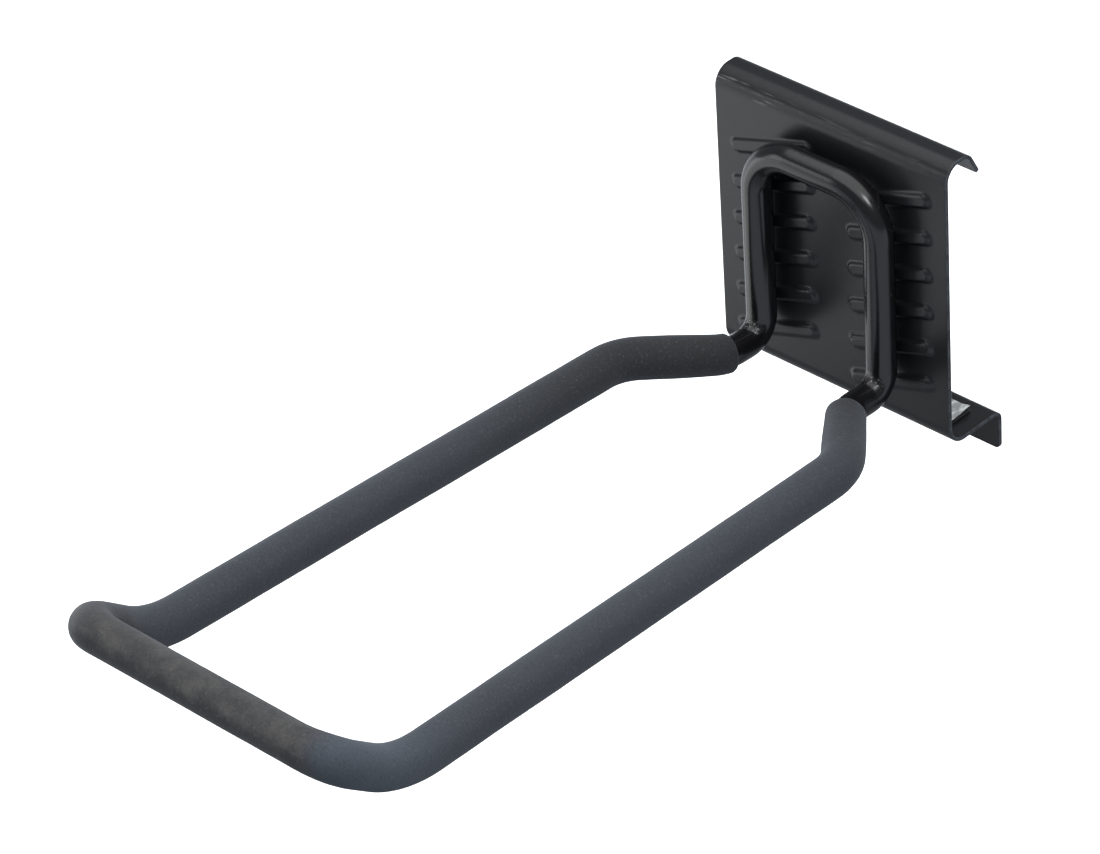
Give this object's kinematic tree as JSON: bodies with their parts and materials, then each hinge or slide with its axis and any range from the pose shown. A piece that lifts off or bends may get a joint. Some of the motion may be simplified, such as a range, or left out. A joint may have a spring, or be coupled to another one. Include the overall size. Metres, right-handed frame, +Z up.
{
  "type": "bicycle wall rack",
  "caption": "Bicycle wall rack: a bent tube loop with a foam sleeve reaches out from a sheet-steel bracket that hooks into a slatted wall panel.",
  "frame": {"origin": "on the flat back face of the plate, on its centre line, in the wall plane", "axes": "+Y into the wall, square to the back face; +Z up; the arms reach out along -Y"},
  "size_m": [0.1758, 0.468, 0.1787],
  "materials": {
    "plate_coat": "semi-gloss black powder coat on pressed sheet steel",
    "tube_coat": "glossy black coat on bent steel tube",
    "sleeve_foam": "matt charcoal foam rubber with a fine grain",
    "pad_foam": "matt dark foam strip",
    "liner_paper": "pale creased film on the strip"
  },
  "bodies": {
    "root": {"back_plate": "plate_coat", "tube_loop": "tube_coat", "foam_sleeve": "sleeve_foam", "shelf_pad": "pad_foam", "pad_liner": "liner_paper"}
  },
  "joints": []
}
